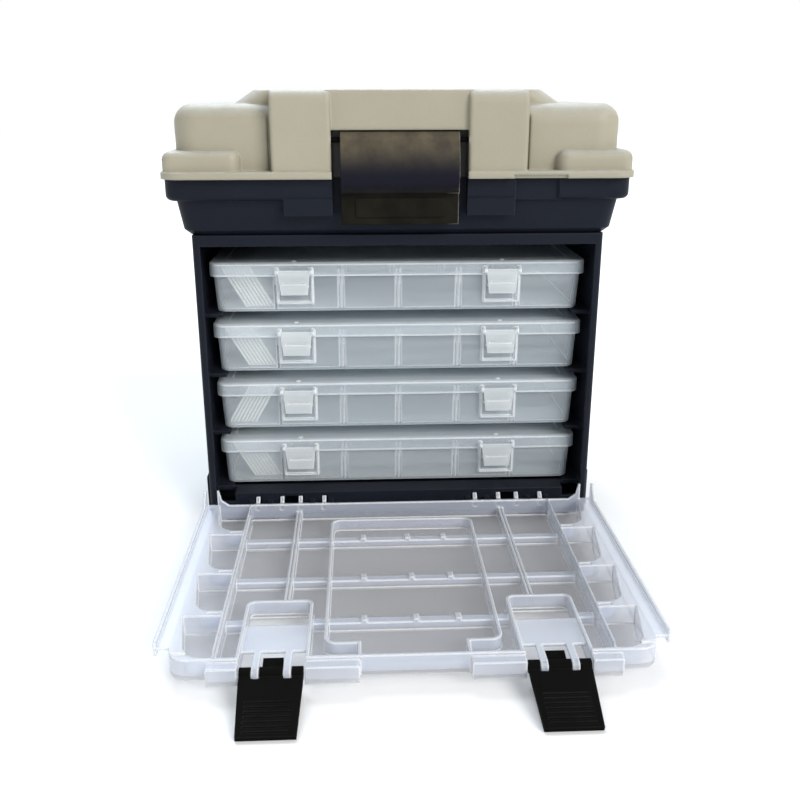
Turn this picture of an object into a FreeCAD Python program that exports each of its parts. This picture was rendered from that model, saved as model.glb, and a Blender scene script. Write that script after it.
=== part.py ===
import FreeCAD, Part
import math
import os

# Fishing tackle cabinet: a moulded body with four clear drawer boxes behind a
# drop-down clear door, and a bin with a hinged lid on top.
# Origin: centre of the footprint at floor level. X right, Y to the back, Z up.

Vector = FreeCAD.Vector

# Body sizes
body_width = 241.5
body_depth = 144.0
body_wall = 2.8
body_corner = 3.0
foot_height = 6.0
foot_length = 34.0
foot_width = 16.0
foot_inset = 8.0
sill_height = 17.5
sill_lip_depth = 11.0
sill_lip_thickness = 2.5
stile_width = 4.45
lintel_height = 6.3
lintel_space = 11.6
ledge_width = 11.0
ledge_thickness = 2.2
ledge_setback = 11.0
flare_proud = 3.0
flare_height = 24.0
flare_slope = 6.0
flare_length = 42.0
flare_setback = 12.0
panel_recess = 0.9
panel_margin = 17.0
panel_corner = 9.0

# Tray sizes
tray_count = 4
tray_side_space = 3.65
tray_back_space = 6.5
tray_height = 30.7
tray_gap = 7.1
tray_setback = 12.5
tray_wall = 1.4
tray_corner = 6.0
tray_rim_height = 8.5
tray_rim_space = 0.4
tray_draft = 1.3
tray_sill_space = 0.5
tray_ledge_space = 0.05
tray_lid_space = 0.2
tray_end_bay = 39.3
tray_slot_places = (-35.0, 0.0, 37.0, 73.0)
tray_slot_gap = 2.4
tray_slot_rib = 1.0
tray_slot_depth = 2.2
tray_slot_margin = 2.0
tray_edge_round = 1.1
tray_panel_inset = 9.0
tray_panel_depth = 0.5
tray_knuckle_radius = 2.1
tray_knuckle_length = 12.0
tray_hinge_back = 0.6
tray_hinge_pin_radius = 1.0
tray_nub_width = 2.2
tray_nub_height = 0.6

# Tray latch sizes
clip_side_space = 51.3
clip_width = 18.8
clip_foot_width = 16.0
clip_length = 13.8
clip_thickness = 1.5
clip_axis_drop = 5.6
clip_axis_proud = 2.1
clip_trunnion_radius = 1.1
clip_ear_radius = 2.0
clip_ear_length = 1.8
clip_hook_height = 1.6
clip_hook_depth = 0.9
clip_catch_space = 0.4
clip_catch_rise = 3.4
clip_groove = 0.4
clip_groove_rise = 6.4
clip_groove_height = 1.2
clip_groove_margin = 1.2
clip_frame_length = 20.0
clip_frame_width = 1.0
clip_frame_proud = 0.9
clip_frame_space = 0.6
clip_end_space = 0.05

# Divider sizes
divider_thickness = 1.6
divider_end_space = 10.5
divider_height = 28.6
divider_count = 8
divider_pitch = 2.3
divider_lean = 60.0
divider_floor_space = 0.2
divider_wall_space = 0.6
right_leaning_tray = 2

# Door sizes
door_height = 12.0
door_floor = 1.5
door_wall = 1.6
door_body_inset = 5.15
door_front_wall_drop = 1.2
door_rear_gap = 5.2
door_top_gap = 0.8
door_rim_gap = 0.5
door_flange_reach = 7.4
door_lip_thickness = 1.5
door_lip_height = 2.4
door_ear_height = 10.0
door_ear_length = 12.0
door_flange_drop = 2.6
door_pocket_corner = 10.0
door_pocket_side = 3.4
door_rib_side = 21.6
door_inner_rib_side = 51.6
door_rib_height = 7.0
door_bar_height = 6.0
door_bar_width = 5.0
door_bar_shares = (0.235, 0.516, 0.770)
door_fence_side = 72.3
door_fence_corner = 6.0
door_fence_inset = 17.0
door_fence_neck_step = 16.3
door_nub_places = (-23.8, 2.4, 23.8)
door_nub_width = 3.0
door_nub_height = 1.5
door_bar_skin = 1.1
door_slot_width = 1.6
door_slot_depth = 7.6
door_double_rib_gap = 0.8
door_double_rib_thickness = 1.2
door_fence_shoulder = 14.4
door_post_width = 5.0
door_post_step = 3.3
door_ear_top = 9.0
door_corner = 9.0
block_inner_reach = 41.0
block_outer_reach = 30.0
block_height = 8.8
block_proud = 5.3
window_depth = 18.0
recess_ceiling_height = 6.2
recess_wall_height = 9.0
recess_margin = 4.5

# Door hinge sizes
hinge_proud = 2.6
hinge_rod_radius = 1.25
hinge_knuckle_radius = 2.3
finger_side_spaces = (67.4, 52.4, 40.8, 25.6)
finger_width = 2.4
finger_tail_rise = 4.9
finger_tail_reach = 3.8
finger_tail_width = 2.2
finger_slot_space = 1.0
finger_stop_space = 0.1
hinge_lug_side_spaces = (71.6, 59.9, 33.2, 21.4)
hinge_lug_width = 3.0
running_space = 0.05

# Door latch sizes
latch_side = 48.6
latch_width = 29.5
latch_length = 35.0
latch_thickness = 2.5
latch_tip_width = 26.5
latch_pivot_height = 4.5
latch_pivot_inset = 2.8
latch_hub_radius = 3.1
latch_pin_radius = 1.25
latch_floor_gap = 0.15
latch_side_space = 0.8
latch_lug_width = 3.4
latch_lug_place = 7.4
latch_lug_space = 0.4
tongue_width = 9.6
tongue_reach = 11.7
tongue_thickness = 2.0
tongue_offset = 3.8
latch_root_length = 6.2
latch_notch_space = 0.8
grip_count = 7
grip_pitch = 2.6
grip_depth = 0.5
grip_width = 1.2
grip_side_margin = 2.6
latch_pin_beyond = 1.7

# Bin sizes
bin_wall = 2.6
bin_floor = 2.8
bin_lower_height = 20.5
bin_height = 32.6
bin_band_inset = 4.8
bin_band_side = 1.7
bin_lower_inset = 9.0
bin_lower_side = 6.2
bin_foot_inset = 15.5
bin_foot_side = 10.8
bin_corner = 10.0
bin_edge_round = 3.2
bin_pad_drop = 8.5
bin_pad_inset = 5.7
bin_pad_latch_step = 1.0
bin_right_step_outer = 91.0
bin_right_step_inset = 6.9
bin_channel_floor = 2.2
bin_channel_rise = 13.0
bin_screw_slot = 0.9
catch_height = 3.0
catch_drop = 18.0
catch_half_width = 24.0
catch_space = 0.5
tongue_lip = 2.0
tongue_space = 0.8
bin_screw_radius = 1.6
bin_screw_head_radius = 3.2
bin_screw_head = 2.0
bin_screw_x = 88.0
bin_screw_inset = 26.0

# Lid sizes
lid_width = 270.0
lid_depth = 170.0
lid_overhang = 13.9
lid_wall = 2.6
lid_seat_gap = 0.2
lid_flange = 4.0
lid_corner = 13.0
lid_edge_round = 1.2
dome_inset = 11.5
dome_side_inset = 7.4
dome_height = 36.0
dome_corner = 15.0
dome_round = 10.5
plateau_height = 7.6
plateau_half_width = 82.5
plateau_side_run = 19.5
plateau_front_set = 20.0
plateau_back_set = 8.0
plateau_round = 2.5
rib_inner = 38.4
rib_outer = 71.9
rib_front_inset = 2.6
rib_round = 7.0
rib_side_round = 2.0
rib_groove_width = 2.2
rib_groove_depth = 1.4
brow_height = 21.5
brow_set = 6.2
brow_round = 1.5
bulge_inner = 89.5
bulge_depth = 44.0
bulge_height = 11.0
bulge_round = 5.0
bulge_corner = 6.0
flange_notch_inner = 64.0
flange_notch_outer = 94.5
flange_notch_height = 2.0
flange_notch_depth = 2.4

# Lid hinge sizes
lid_hinge_beyond = 4.4
lid_hinge_drop = 1.8
lid_hinge_rod_radius = 1.5
lid_knuckle_radius = 4.0
lid_knuckle_place = 72.0
lid_knuckle_width = 18.0
lid_ear_width = 6.0
lid_knuckle_space = 0.3

# Lid latch sizes
lever_half_width = 33.3
lever_axis_drop = 5.2
lever_axis_set = 6.9
lever_hub_radius = 4.4
lever_pin_radius = 1.5
lever_pin_seat = 2.4
lever_seat_radius = 4.1
lever_thickness = 2.4
lever_bulge = 2.1
lever_step_drop = 26.4
lever_step_depth = 3.0
lever_length = 46.4
lever_cheek = 2.6
lever_grip_margin = 8.0
lever_grip_proud = 0.6
lever_grip_height = 11.0

# Carry handle sizes
pan_half_width = 64.0
pan_front = 42.0
pan_back = 104.0
pan_depth = 11.0
pan_corner = 6.0
pan_wall = 2.2
grip_half_length = 60.5
grip_bar_width = 15.0
grip_bar_height = 8.0
grip_bar_round = 3.4
arm_width = 8.0
arm_height = 7.0
handle_reach = 40.0
handle_axis_depth = 5.0
handle_axis_inset = 9.0
handle_hub_radius = 4.2
handle_pin_radius = 2.0

# Shared values
overrun = 5.0
curve_tolerance = 0.1
corner_limit_share = 0.488

# Levels and planes worked out from the sizes
front = -body_depth / 2
back = body_depth / 2
half_body = body_width / 2
inner_half = half_body - body_wall
mouth_half = half_body - stile_width
sill_top = foot_height + sill_height
tray_pitch = tray_height + tray_gap
tray_width = body_width - 2 * body_wall - 2 * tray_side_space
tray_depth = body_depth - tray_setback - tray_back_space
tray_cross_wall = tray_width / 2 - tray_end_bay
clip_place = tray_width / 2 - clip_side_space
tray_front = front + tray_setback
tray_back = tray_front + tray_depth
lowest_tray = sill_top + tray_sill_space
highest_tray_top = lowest_tray + (tray_count - 1) * tray_pitch + tray_height
lintel_bottom = highest_tray_top + lintel_space
body_top = lintel_bottom + lintel_height
bin_top = body_top + bin_height
band_bottom = body_top + bin_lower_height
lid_bottom = bin_top + lid_seat_gap
flange_top = lid_bottom + lid_flange
lid_front = front - lid_overhang
lid_back = lid_front + lid_depth
dome_top = flange_top + dome_height
lid_top = dome_top + plateau_height
brow_bottom = lid_top - brow_height
hinge_y = front - hinge_proud
rim_top = foot_height + door_height
hinge_z = rim_top - hinge_proud + door_rim_gap
door_rear = front - door_rear_gap
door_front = hinge_y - (body_top - door_top_gap - hinge_z)
door_length = door_rear - door_front
door_floor_top = foot_height + door_floor
door_half_width = half_body - door_body_inset
door_flange_half_width = door_half_width + door_flange_reach
door_side_inner = door_half_width - door_pocket_side
door_rib_place = door_half_width - door_rib_side
door_inner_rib_place = door_half_width - door_inner_rib_side
door_fence_half_width = door_half_width - door_fence_side
door_fence_neck = door_fence_half_width - door_fence_neck_step
finger_places = [door_half_width - space for space in finger_side_spaces]
hinge_lug_places = [door_half_width - space for space in hinge_lug_side_spaces]
latch_place = door_half_width - latch_side
block_inner = latch_place - block_inner_reach
block_outer = latch_place + block_outer_reach
bin_pad_outer = latch_place - bin_pad_latch_step
latch_y = door_front - latch_pivot_inset
latch_z = foot_height + latch_pivot_height
latch_drop = latch_z - latch_thickness / 2 - latch_floor_gap
latch_angle = math.degrees(math.asin(latch_drop / latch_length))
lid_hinge_y = lid_back + lid_hinge_beyond
lid_hinge_z = lid_bottom - lid_hinge_drop
lever_axis_y = front - lever_axis_set
lever_axis_z = brow_bottom - lever_axis_drop
lever_step_z = lever_axis_z - lever_step_drop
lever_low = lever_axis_z - lever_length
lever_inner_low = lid_front + lever_step_depth + lever_thickness
lever_front = lid_front - lever_bulge
channel_wall = front - bin_channel_floor
handle_y = front + pan_back - handle_axis_inset
handle_z = lid_top - handle_axis_depth
clip_y = tray_front - clip_axis_proud
clip_z = lowest_tray + tray_height - clip_axis_drop
clip_plate_front = clip_y - clip_trunnion_radius - clip_thickness / 4
tray_rim_bottom = lowest_tray + tray_height - tray_rim_height
tray_hinge_y = tray_back + tray_hinge_back
tray_hinge_z = tray_rim_bottom - tray_knuckle_radius - tray_lid_space
closed_latch_y = hinge_y + latch_z - hinge_z
closed_latch_z = hinge_z + hinge_y - latch_y
window_rear = latch_y + latch_length + window_depth


def box(x0, x1, y0, y1, z0, z1):
    return Part.makeBox(x1 - x0, y1 - y0, z1 - z0, Vector(x0, y0, z0))


def rod(x0, x1, y, z, radius):
    return Part.makeCylinder(radius, x1 - x0, Vector(x0, y, z), Vector(1, 0, 0))


def post(x, y, z0, z1, radius):
    return Part.makeCylinder(radius, z1 - z0, Vector(x, y, z0))


def prism_x(points, x0, x1):
    corners = [Vector(x0, y, z) for y, z in points]
    wire = Part.makePolygon(corners + corners[:1])
    return Part.Face(wire).extrude(Vector(x1 - x0, 0, 0))


def prism_y(points, y0, y1):
    corners = [Vector(x, y0, z) for x, z in points]
    wire = Part.makePolygon(corners + corners[:1])
    return Part.Face(wire).extrude(Vector(0, y1 - y0, 0))


def prism_z(points, z0, z1):
    corners = [Vector(x, y, z0) for x, y in points]
    wire = Part.makePolygon(corners + corners[:1])
    return Part.Face(wire).extrude(Vector(0, 0, z1 - z0))


def rounded_wire(x0, x1, y0, y1, radius, z):
    # A rectangle with round corners, drawn anticlockwise at one height.
    r = min(radius, corner_limit_share * (x1 - x0), corner_limit_share * (y1 - y0))
    lean = r * (1 - math.sqrt(0.5))
    starts = [(x0 + r, y0), (x1, y0 + r), (x1 - r, y1), (x0, y1 - r)]
    ends = [(x1 - r, y0), (x1, y1 - r), (x0 + r, y1), (x0, y0 + r)]
    mids = [(x1 - lean, y0 + lean), (x1 - lean, y1 - lean), (x0 + lean, y1 - lean), (x0 + lean,
                                                                                     y0 + lean)]
    edges = []
    for i in range(4):
        a = Vector(*starts[i], z)
        b = Vector(*ends[i], z)
        c = Vector(*starts[(i + 1) % 4], z)
        edges.append(Part.LineSegment(a, b).toShape())
        edges.append(Part.Arc(b, Vector(*mids[i], z), c).toShape())
    return Part.Wire(edges)


def slab(x0, x1, y0, y1, z0, z1, radius):
    return Part.Face(rounded_wire(x0, x1, y0, y1, radius, z0)).extrude(Vector(0, 0, z1 - z0))


def slab_x(x0, x1, y0, y1, z0, z1, radius):
    # A slab with its round corners in the side view.
    shape = slab(y0, y1, z0, z1, x0, x1, radius)
    shape.rotate(Vector(0, 0, 0), Vector(1, 1, 1), 120)
    return shape


def slab_y(x0, x1, y0, y1, z0, z1, radius):
    # A slab with its round corners in the front view.
    shape = slab(x0, x1, z0, z1, -y1, -y0, radius)
    shape.rotate(Vector(0, 0, 0), Vector(1, 0, 0), 90)
    return shape


def tub(sections):
    wires = [rounded_wire(*section) for section in sections]
    return Part.makeLoft(wires, True, True)


def mirrored(shape):
    return shape.mirror(Vector(0, 0, 0), Vector(1, 0, 0))


def both(shape):
    return [shape, mirrored(shape)]


def union(shapes):
    first = shapes[0]
    rest = shapes[1:]
    if not rest:
        return first
    return first.multiFuse(rest).removeSplitter()


def soften(shape, radius, chooser):
    # Rounds the edges that the chooser picks by their middle point.
    edges = []
    for edge in shape.Edges:
        middle = edge.valueAt((edge.FirstParameter + edge.LastParameter) / 2)
        if chooser(middle):
            edges.append(edge)
    if not edges:
        return shape
    return shape.makeFillet(radius, edges)


def near(a, b):
    return abs(a - b) < curve_tolerance


def lid_section(side_inset, end_inset, z, radius):
    # The lid flange's outline drawn in at its sides and ends, at one height.
    half = lid_width / 2 - side_inset
    return (-half, half, lid_front + end_inset, lid_back - end_inset, radius, z)


def tray_bottom(number):
    return lowest_tray + (number - 1) * tray_pitch


# The body: one moulding, open at the front, with a ledge for each tray on both
# sides, a slotted sill for the door's fingers and lugs that hold the hinge rods.
def make_body():
    shell = slab(-half_body, half_body, front, back, foot_height, body_top, body_corner)
    floor_top = foot_height + body_wall
    roof_bottom = body_top - body_wall
    cavity = box(-inner_half, inner_half, front + body_wall, back - body_wall, floor_top, roof_bottom)
    mouth = box(-mouth_half, mouth_half, front - overrun, front + overrun, sill_top, lintel_bottom)
    shell = shell.cut([cavity, mouth])
    pieces = [shell]
    lip_back = front + body_wall + sill_lip_depth
    pieces.append(box(-inner_half, inner_half, front + body_wall / 2, lip_back,
                      sill_top - sill_lip_thickness, sill_top))
    for number in range(1, tray_count + 1):
        top = tray_bottom(number) - tray_ledge_space
        ledge = box(inner_half - ledge_width, inner_half + body_wall / 2, front + ledge_setback,
                    back - body_wall / 2, top - ledge_thickness, top)
        pieces += both(ledge)
    flare = prism_y([(half_body - body_wall / 2, foot_height), (half_body + flare_proud, foot_height),
                     (half_body + flare_proud, foot_height + flare_height),
                     (half_body - body_wall / 2, foot_height + flare_height + flare_slope)],
                    front + flare_setback, front + flare_setback + flare_length)
    rear_flare = flare.copy()
    rear_flare.translate(Vector(0, body_depth - 2 * flare_setback - flare_length, 0))
    pieces += both(flare) + both(rear_flare)
    foot = slab(half_body - foot_inset - foot_length, half_body - foot_inset,
                front + foot_inset, front + foot_inset + foot_width, 0, foot_height + body_wall / 2,
                body_corner)
    rear_foot = foot.copy()
    rear_foot.translate(Vector(0, body_depth - 2 * foot_inset - foot_width, 0))
    middle_foot = slab(-foot_length / 2, foot_length / 2, -foot_width / 2, foot_width / 2, 0,
                       foot_height + body_wall / 2, body_corner)
    pieces += both(foot) + both(rear_foot) + [middle_foot]
    for place in hinge_lug_places:
        x0 = place - hinge_lug_width / 2
        x1 = place + hinge_lug_width / 2
        lug = rod(x0, x1, hinge_y, hinge_z, hinge_knuckle_radius)
        arm = box(x0, x1, hinge_y, front + body_wall / 2, hinge_z - hinge_knuckle_radius,
                  hinge_z + hinge_knuckle_radius)
        pieces += both(union([lug, arm]))
    body = union(pieces)
    cuts = []
    slot_bottom = hinge_z - finger_tail_reach - finger_tail_width - finger_slot_space
    slot_top = hinge_z + finger_tail_rise + finger_stop_space
    slot_back = hinge_y + math.hypot(finger_tail_rise, finger_tail_reach) + finger_slot_space
    half_slot = finger_width / 2 + finger_slot_space
    slot_spans = [(finger_places[0] - half_slot, finger_places[0] + half_slot),
                  (finger_places[1] - half_slot, finger_places[2] + half_slot),
                  (finger_places[3] - half_slot, finger_places[3] + half_slot)]
    for x0, x1 in slot_spans:
        cuts += both(box(x0, x1, front - overrun, slot_back, slot_bottom, slot_top))
    notch_low = hinge_z + (door_rear_gap - hinge_proud) - finger_slot_space
    notch_inner = door_side_inner - door_wall - door_post_width - finger_slot_space
    cuts += both(box(notch_inner, door_half_width + finger_slot_space / 2, front - overrun,
                     front + ledge_setback, notch_low, sill_top + overrun))
    rods_half = finger_places[-1] + half_slot + hinge_lug_width + finger_slot_space
    cuts.append(rod(-rods_half, rods_half, hinge_y, hinge_z, hinge_rod_radius))
    for x, y in screw_places():
        cuts.append(post(x, y, roof_bottom - overrun, body_top + overrun, bin_screw_radius))
    panel_low = foot_height + flare_height + flare_slope + panel_margin / 2
    panel_high = lintel_bottom - panel_margin / 2
    cuts += both(slab_x(half_body - panel_recess, half_body + overrun, front + panel_margin,
                        back - panel_margin, panel_low, panel_high, panel_corner))
    cuts.append(slab_y(-half_body + panel_margin, half_body - panel_margin, back - panel_recess,
                       back + overrun, panel_low, panel_high, panel_corner))
    return body.cut(cuts).removeSplitter()


def screw_places():
    rows = (front + bin_screw_inset, back - bin_screw_inset)
    return [(side * bin_screw_x, y) for y in rows for side in (-1, 1)]


# The bin: one moulding screwed to the top of the body. Its upper band stands
# proud, a channel in front takes the lid's lever, and four ears carry the hinge.
def make_bin():
    half_round = bin_edge_round / 2
    hip_z = band_bottom + bin_edge_round
    lower = tub([lid_section(bin_foot_side + half_round, bin_foot_inset + half_round, body_top,
                             bin_corner),
                 lid_section(bin_foot_side - half_round, bin_foot_inset - half_round,
                             body_top + bin_edge_round,
                             bin_corner),
                 lid_section(bin_lower_side, bin_lower_inset, hip_z, bin_corner)])
    half_band = lid_width / 2 - bin_band_side
    band = slab(-half_band, half_band, lid_front + bin_band_inset, lid_back - bin_band_inset,
                band_bottom, bin_top, bin_corner)
    band = soften(band, bin_edge_round, lambda m: near(m.z, band_bottom))
    pad_bottom = band_bottom - bin_pad_drop
    pad_front = lid_front + bin_pad_inset
    pads = both(box(rib_inner, bin_pad_outer, pad_front, front + bin_foot_inset / 2, pad_bottom, hip_z))
    outer = union([lower, band] + pads)
    floor_z = body_top + bin_floor
    inner_corner = bin_corner - bin_wall
    inner_side = bin_lower_side + bin_wall
    inner_end = bin_lower_inset + bin_wall
    cavity = tub([lid_section(bin_foot_side + bin_wall, bin_foot_inset + bin_wall, floor_z, inner_corner),
                  lid_section(inner_side, inner_end, hip_z, inner_corner),
                  lid_section(inner_side, inner_end, bin_top + overrun, inner_corner)])
    channel_back = box(-rib_inner - bin_wall, rib_inner + bin_wall, channel_wall, channel_wall + bin_wall,
                       body_top + bin_channel_rise, bin_top)
    shell = union([outer.cut(cavity), channel_back])
    channel = box(-rib_inner, rib_inner, lid_front - overrun, channel_wall, floor_z, bin_top + overrun)
    shell = shell.cut(channel)
    rail_top = bin_top - catch_drop + catch_height
    rail_front = lever_inner_low + catch_space
    rail_back = channel_wall + bin_wall / 2
    rail = prism_x([(rail_back, rail_top - catch_height), (rail_front, rail_top - catch_height / 2),
                    (rail_front, rail_top), (rail_back, rail_top)], -catch_half_width, catch_half_width)
    ear_root = lid_back - bin_lower_inset - bin_wall / 2
    ears = []
    for x0, x1 in ear_spans():
        web = prism_x([(ear_root, band_bottom), (lid_hinge_y, lid_hinge_z - lid_knuckle_radius),
                       (lid_hinge_y, lid_hinge_z), (ear_root, lid_hinge_z)], x0, x1)
        ears.append(union([web, rod(x0, x1, lid_hinge_y, lid_hinge_z, lid_knuckle_radius)]))
    shell = union([shell, rail] + ears)
    cuts = []
    for x0, x1 in ear_spans():
        cuts.append(rod(x0, x1, lid_hinge_y, lid_hinge_z, lid_hinge_rod_radius))
    cuts.append(box(bin_pad_outer, bin_right_step_outer, lid_front - overrun,
                    lid_front + bin_right_step_inset, band_bottom - bin_edge_round, bin_top + overrun))
    half_pocket = tongue_width / 2 + tongue_space
    pocket_back = closed_latch_y + tongue_offset + tongue_thickness / 2 + tongue_space / 2
    pocket_top = closed_latch_z + tongue_reach + tongue_space
    cuts += both(box(latch_place - half_pocket, latch_place + half_pocket, pad_front + tongue_lip,
                     pocket_back,
                     pad_bottom - overrun, pocket_top))
    for x, y in screw_places():
        cuts.append(post(x, y, body_top - overrun, floor_z + overrun, bin_screw_radius))
    return shell.cut(cuts).removeSplitter()


def ear_spans():
    # The two ears on either side of each lid knuckle.
    spans = []
    inner = lid_knuckle_width / 2 + lid_knuckle_space
    for centre in (-lid_knuckle_place, lid_knuckle_place):
        spans.append((centre - inner - lid_ear_width, centre - inner))
        spans.append((centre + inner, centre + inner + lid_ear_width))
    return spans


def make_bin_screws():
    screws = []
    head_low = body_top + bin_floor
    head_high = head_low + bin_screw_head
    for x, y in screw_places():
        head = post(x, y, head_low, head_high, bin_screw_head_radius)
        shank = post(x, y, body_top - body_wall, head_low + bin_screw_head / 2, bin_screw_radius)
        slot = box(x - bin_screw_head_radius, x + bin_screw_head_radius, y - bin_screw_slot / 2,
                   y + bin_screw_slot / 2, head_low + bin_screw_head / 2, head_high + overrun)
        screws.append(union([head, shank]).cut(slot))
    return Part.makeCompound(screws)


# The lid: one hollow moulding, a flange all round, a dome with bulges at its
# corners, a plateau with a pan for the handle and two ribs beside the lever.
def make_lid():
    half = lid_width / 2
    flange = slab(-half, half, lid_front, lid_back, lid_bottom, flange_top, lid_corner)
    flange = soften(flange, lid_edge_round, lambda m: near(m.z, flange_top))
    dome_half = half - dome_side_inset
    dome_front = lid_front + dome_inset
    dome_back = lid_back - dome_inset
    dome = slab(-dome_half, dome_half, dome_front, dome_back, lid_bottom, dome_top, dome_corner)
    dome = soften(dome, dome_round, lambda m: near(m.z, dome_top))
    plateau_foot = dome_top - dome_round / 2
    plateau_front = lid_front + plateau_front_set
    foot_half = plateau_half_width + plateau_side_run
    plateau = tub([(-foot_half, foot_half, plateau_front, dome_back, dome_corner, plateau_foot),
                   (-plateau_half_width, plateau_half_width, plateau_front,
                    dome_back - plateau_back_set, dome_corner, lid_top)])
    plateau = soften(plateau, plateau_round, lambda m: near(m.z, lid_top))
    rib_front = lid_front + rib_front_inset
    rib_back = plateau_front + dome_corner
    brow_front = lid_front + brow_set
    brow = box(-rib_inner - lid_wall, rib_inner + lid_wall, brow_front, rib_back, brow_bottom, lid_top)
    brow = soften(brow, brow_round, lambda m: near(m.z, lid_top) and near(m.y, brow_front))
    rib = box(rib_inner, rib_outer, rib_front, rib_back, lid_bottom + lid_flange / 2, lid_top)
    rib = soften(rib, rib_round, lambda m: near(m.z, lid_top) and near(m.y, rib_front))
    rib_round_foot = lid_top - rib_round
    rib = soften(rib, rib_side_round, lambda m: near(m.y, rib_front) and flange_top < m.z < rib_round_foot)
    bulge_half = half - bin_band_side
    bulge_front = lid_front + bin_band_inset
    bulge_top = flange_top + bulge_height
    bulge = slab(bulge_inner, bulge_half, bulge_front, bulge_front + bulge_depth,
                 lid_bottom + lid_flange / 2, bulge_top, bulge_corner)
    bulge = soften(bulge, bulge_round, lambda m: near(m.z, bulge_top))
    rear_bulge = bulge.mirror(Vector(0, (lid_front + lid_back) / 2, 0), Vector(0, 1, 0))
    groove = box(rib_outer, rib_outer + rib_groove_width, lid_front, dome_front + rib_groove_depth,
                 flange_top, lid_top)
    outer = union([flange, dome, plateau, brow] + both(rib) + both(bulge) + both(rear_bulge))
    outer = outer.cut(both(groove))

    inner_half_dome = dome_half - lid_wall
    inner_top = dome_top - lid_wall
    cavity = slab(-inner_half_dome, inner_half_dome, dome_front + lid_wall, dome_back - lid_wall,
                  lid_bottom - overrun, inner_top, dome_corner - lid_wall)
    cavity = soften(cavity, dome_round - lid_wall, lambda m: near(m.z, inner_top))
    rib_cavity = box(rib_inner + lid_wall, rib_outer - lid_wall, rib_front + lid_wall, rib_back,
                     lid_bottom - overrun, inner_top - lid_wall)
    attic_foot_half = foot_half - lid_wall
    attic_top_half = plateau_half_width - lid_wall
    attic_front = plateau_front + lid_wall
    attic_back = dome_back - 2 * lid_wall
    attic_corner = dome_corner - lid_wall
    attic = tub([(-attic_foot_half, attic_foot_half, attic_front, attic_back, attic_corner,
                  plateau_foot - lid_wall),
                 (-attic_top_half, attic_top_half, attic_front, attic_back - plateau_back_set,
                  attic_corner,
                  lid_top - lid_wall)])
    shell = outer.cut([cavity, attic] + both(rib_cavity))
    recess_wall = box(-rib_inner - lid_wall, rib_inner + lid_wall, channel_wall, channel_wall + lid_wall,
                      lid_bottom, brow_bottom + lid_wall)
    pan_front_y = front + pan_front
    pan_back_y = front + pan_back
    pan_floor = lid_top - pan_depth
    pan_outer = slab(-pan_half_width - pan_wall, pan_half_width + pan_wall, pan_front_y - pan_wall,
                     pan_back_y + pan_wall, pan_floor - pan_wall, lid_top - plateau_round / 2,
                     pan_corner + pan_wall)
    seat = rod(rib_inner, rib_inner + lid_wall + lever_pin_seat, lever_axis_y, lever_axis_z,
               lever_seat_radius)
    shell = union([shell, recess_wall, pan_outer] + both(seat))
    lever_room = box(-rib_inner, rib_inner, lid_front - overrun, channel_wall, lid_bottom - overrun,
                     brow_bottom)
    pan = slab(-pan_half_width, pan_half_width, pan_front_y, pan_back_y, pan_floor, lid_top + overrun,
               pan_corner)
    notch = box(flange_notch_inner, flange_notch_outer, lid_front - overrun,
                lid_front + flange_notch_depth,
                lid_bottom - overrun, lid_bottom + flange_notch_height)
    pin_half = rib_inner + lid_wall + lever_pin_seat / 2
    pin_bore = rod(-pin_half, pin_half, lever_axis_y, lever_axis_z, lever_pin_radius)
    handle_bore_half = pan_half_width + pan_wall + curve_tolerance
    handle_bore = rod(-handle_bore_half, handle_bore_half, handle_y, handle_z, handle_pin_radius)
    shell = shell.cut([lever_room, pan, notch, pin_bore, handle_bore])
    lug_parts = []
    for x0, x1 in lid_knuckle_spans():
        web = prism_x([(lid_back - lid_flange, lid_bottom), (lid_hinge_y, lid_hinge_z),
                       (lid_hinge_y, lid_hinge_z + lid_knuckle_radius), (lid_back - lid_flange,
                                                                         flange_top)], x0, x1)
        lug_parts.append(union([web, rod(x0, x1, lid_hinge_y, lid_hinge_z, lid_knuckle_radius)]))
    shell = union([shell] + lug_parts)
    bores = [rod(x0, x1, lid_hinge_y, lid_hinge_z, lid_hinge_rod_radius + running_space)
             for x0, x1 in lid_knuckle_spans()]
    return shell.cut(bores).removeSplitter()


def lid_knuckle_spans():
    half = lid_knuckle_width / 2
    return [(centre - half, centre + half) for centre in (-lid_knuckle_place, lid_knuckle_place)]


def make_lid_hinge_rods():
    half = lid_knuckle_width / 2 + lid_knuckle_space + lid_ear_width
    return Part.makeCompound(both(rod(lid_knuckle_place - half, lid_knuckle_place + half,
                                      lid_hinge_y, lid_hinge_z, lid_hinge_rod_radius)))


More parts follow.
